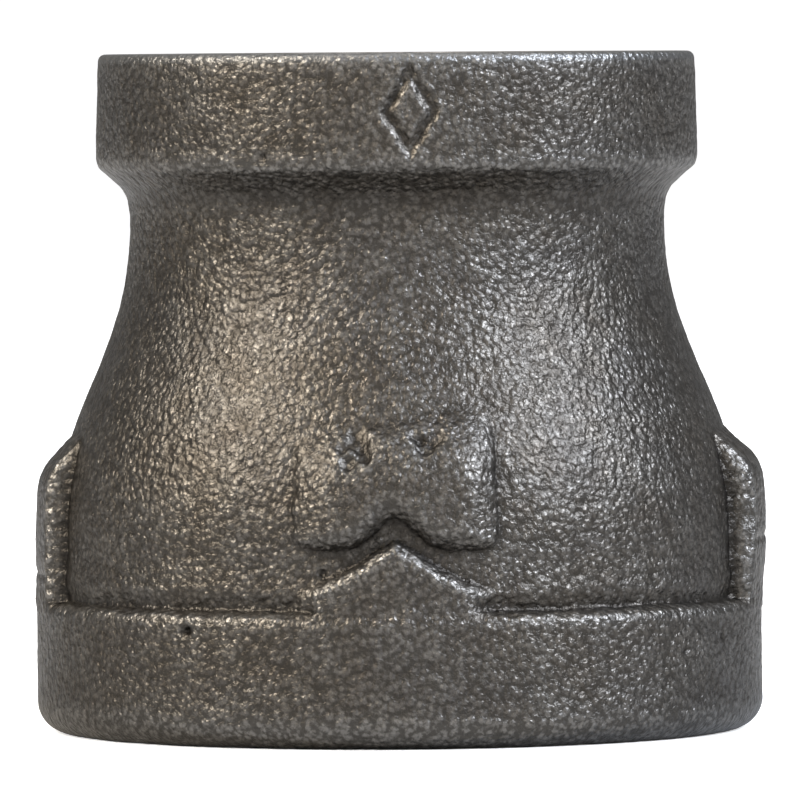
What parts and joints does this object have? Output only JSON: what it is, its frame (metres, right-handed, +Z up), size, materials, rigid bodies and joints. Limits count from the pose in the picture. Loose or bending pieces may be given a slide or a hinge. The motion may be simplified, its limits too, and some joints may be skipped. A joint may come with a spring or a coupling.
{
  "type": "reducing coupling",
  "caption": "Cast malleable iron pipe reducer with a banded, female taper-threaded socket at each end, a bell-shaped body and notched wrench pads above the larger band.",
  "frame": {"origin": "centre of the large end's face, the plane that it stands on", "axes": "+Z up along the bore, from the large end to the small end; -Y faces a wrench pad, and the pads are on +X, +Y, -X and -Y"},
  "size_m": [0.0462, 0.0462, 0.0429],
  "materials": {
    "black_malleable_iron": "as-cast black oxide skin with sand grain, semi-gloss; bare cut metal in the threads"
  },
  "bodies": {
    "root": {"coupling_casting": "black_malleable_iron"}
  },
  "joints": []
}
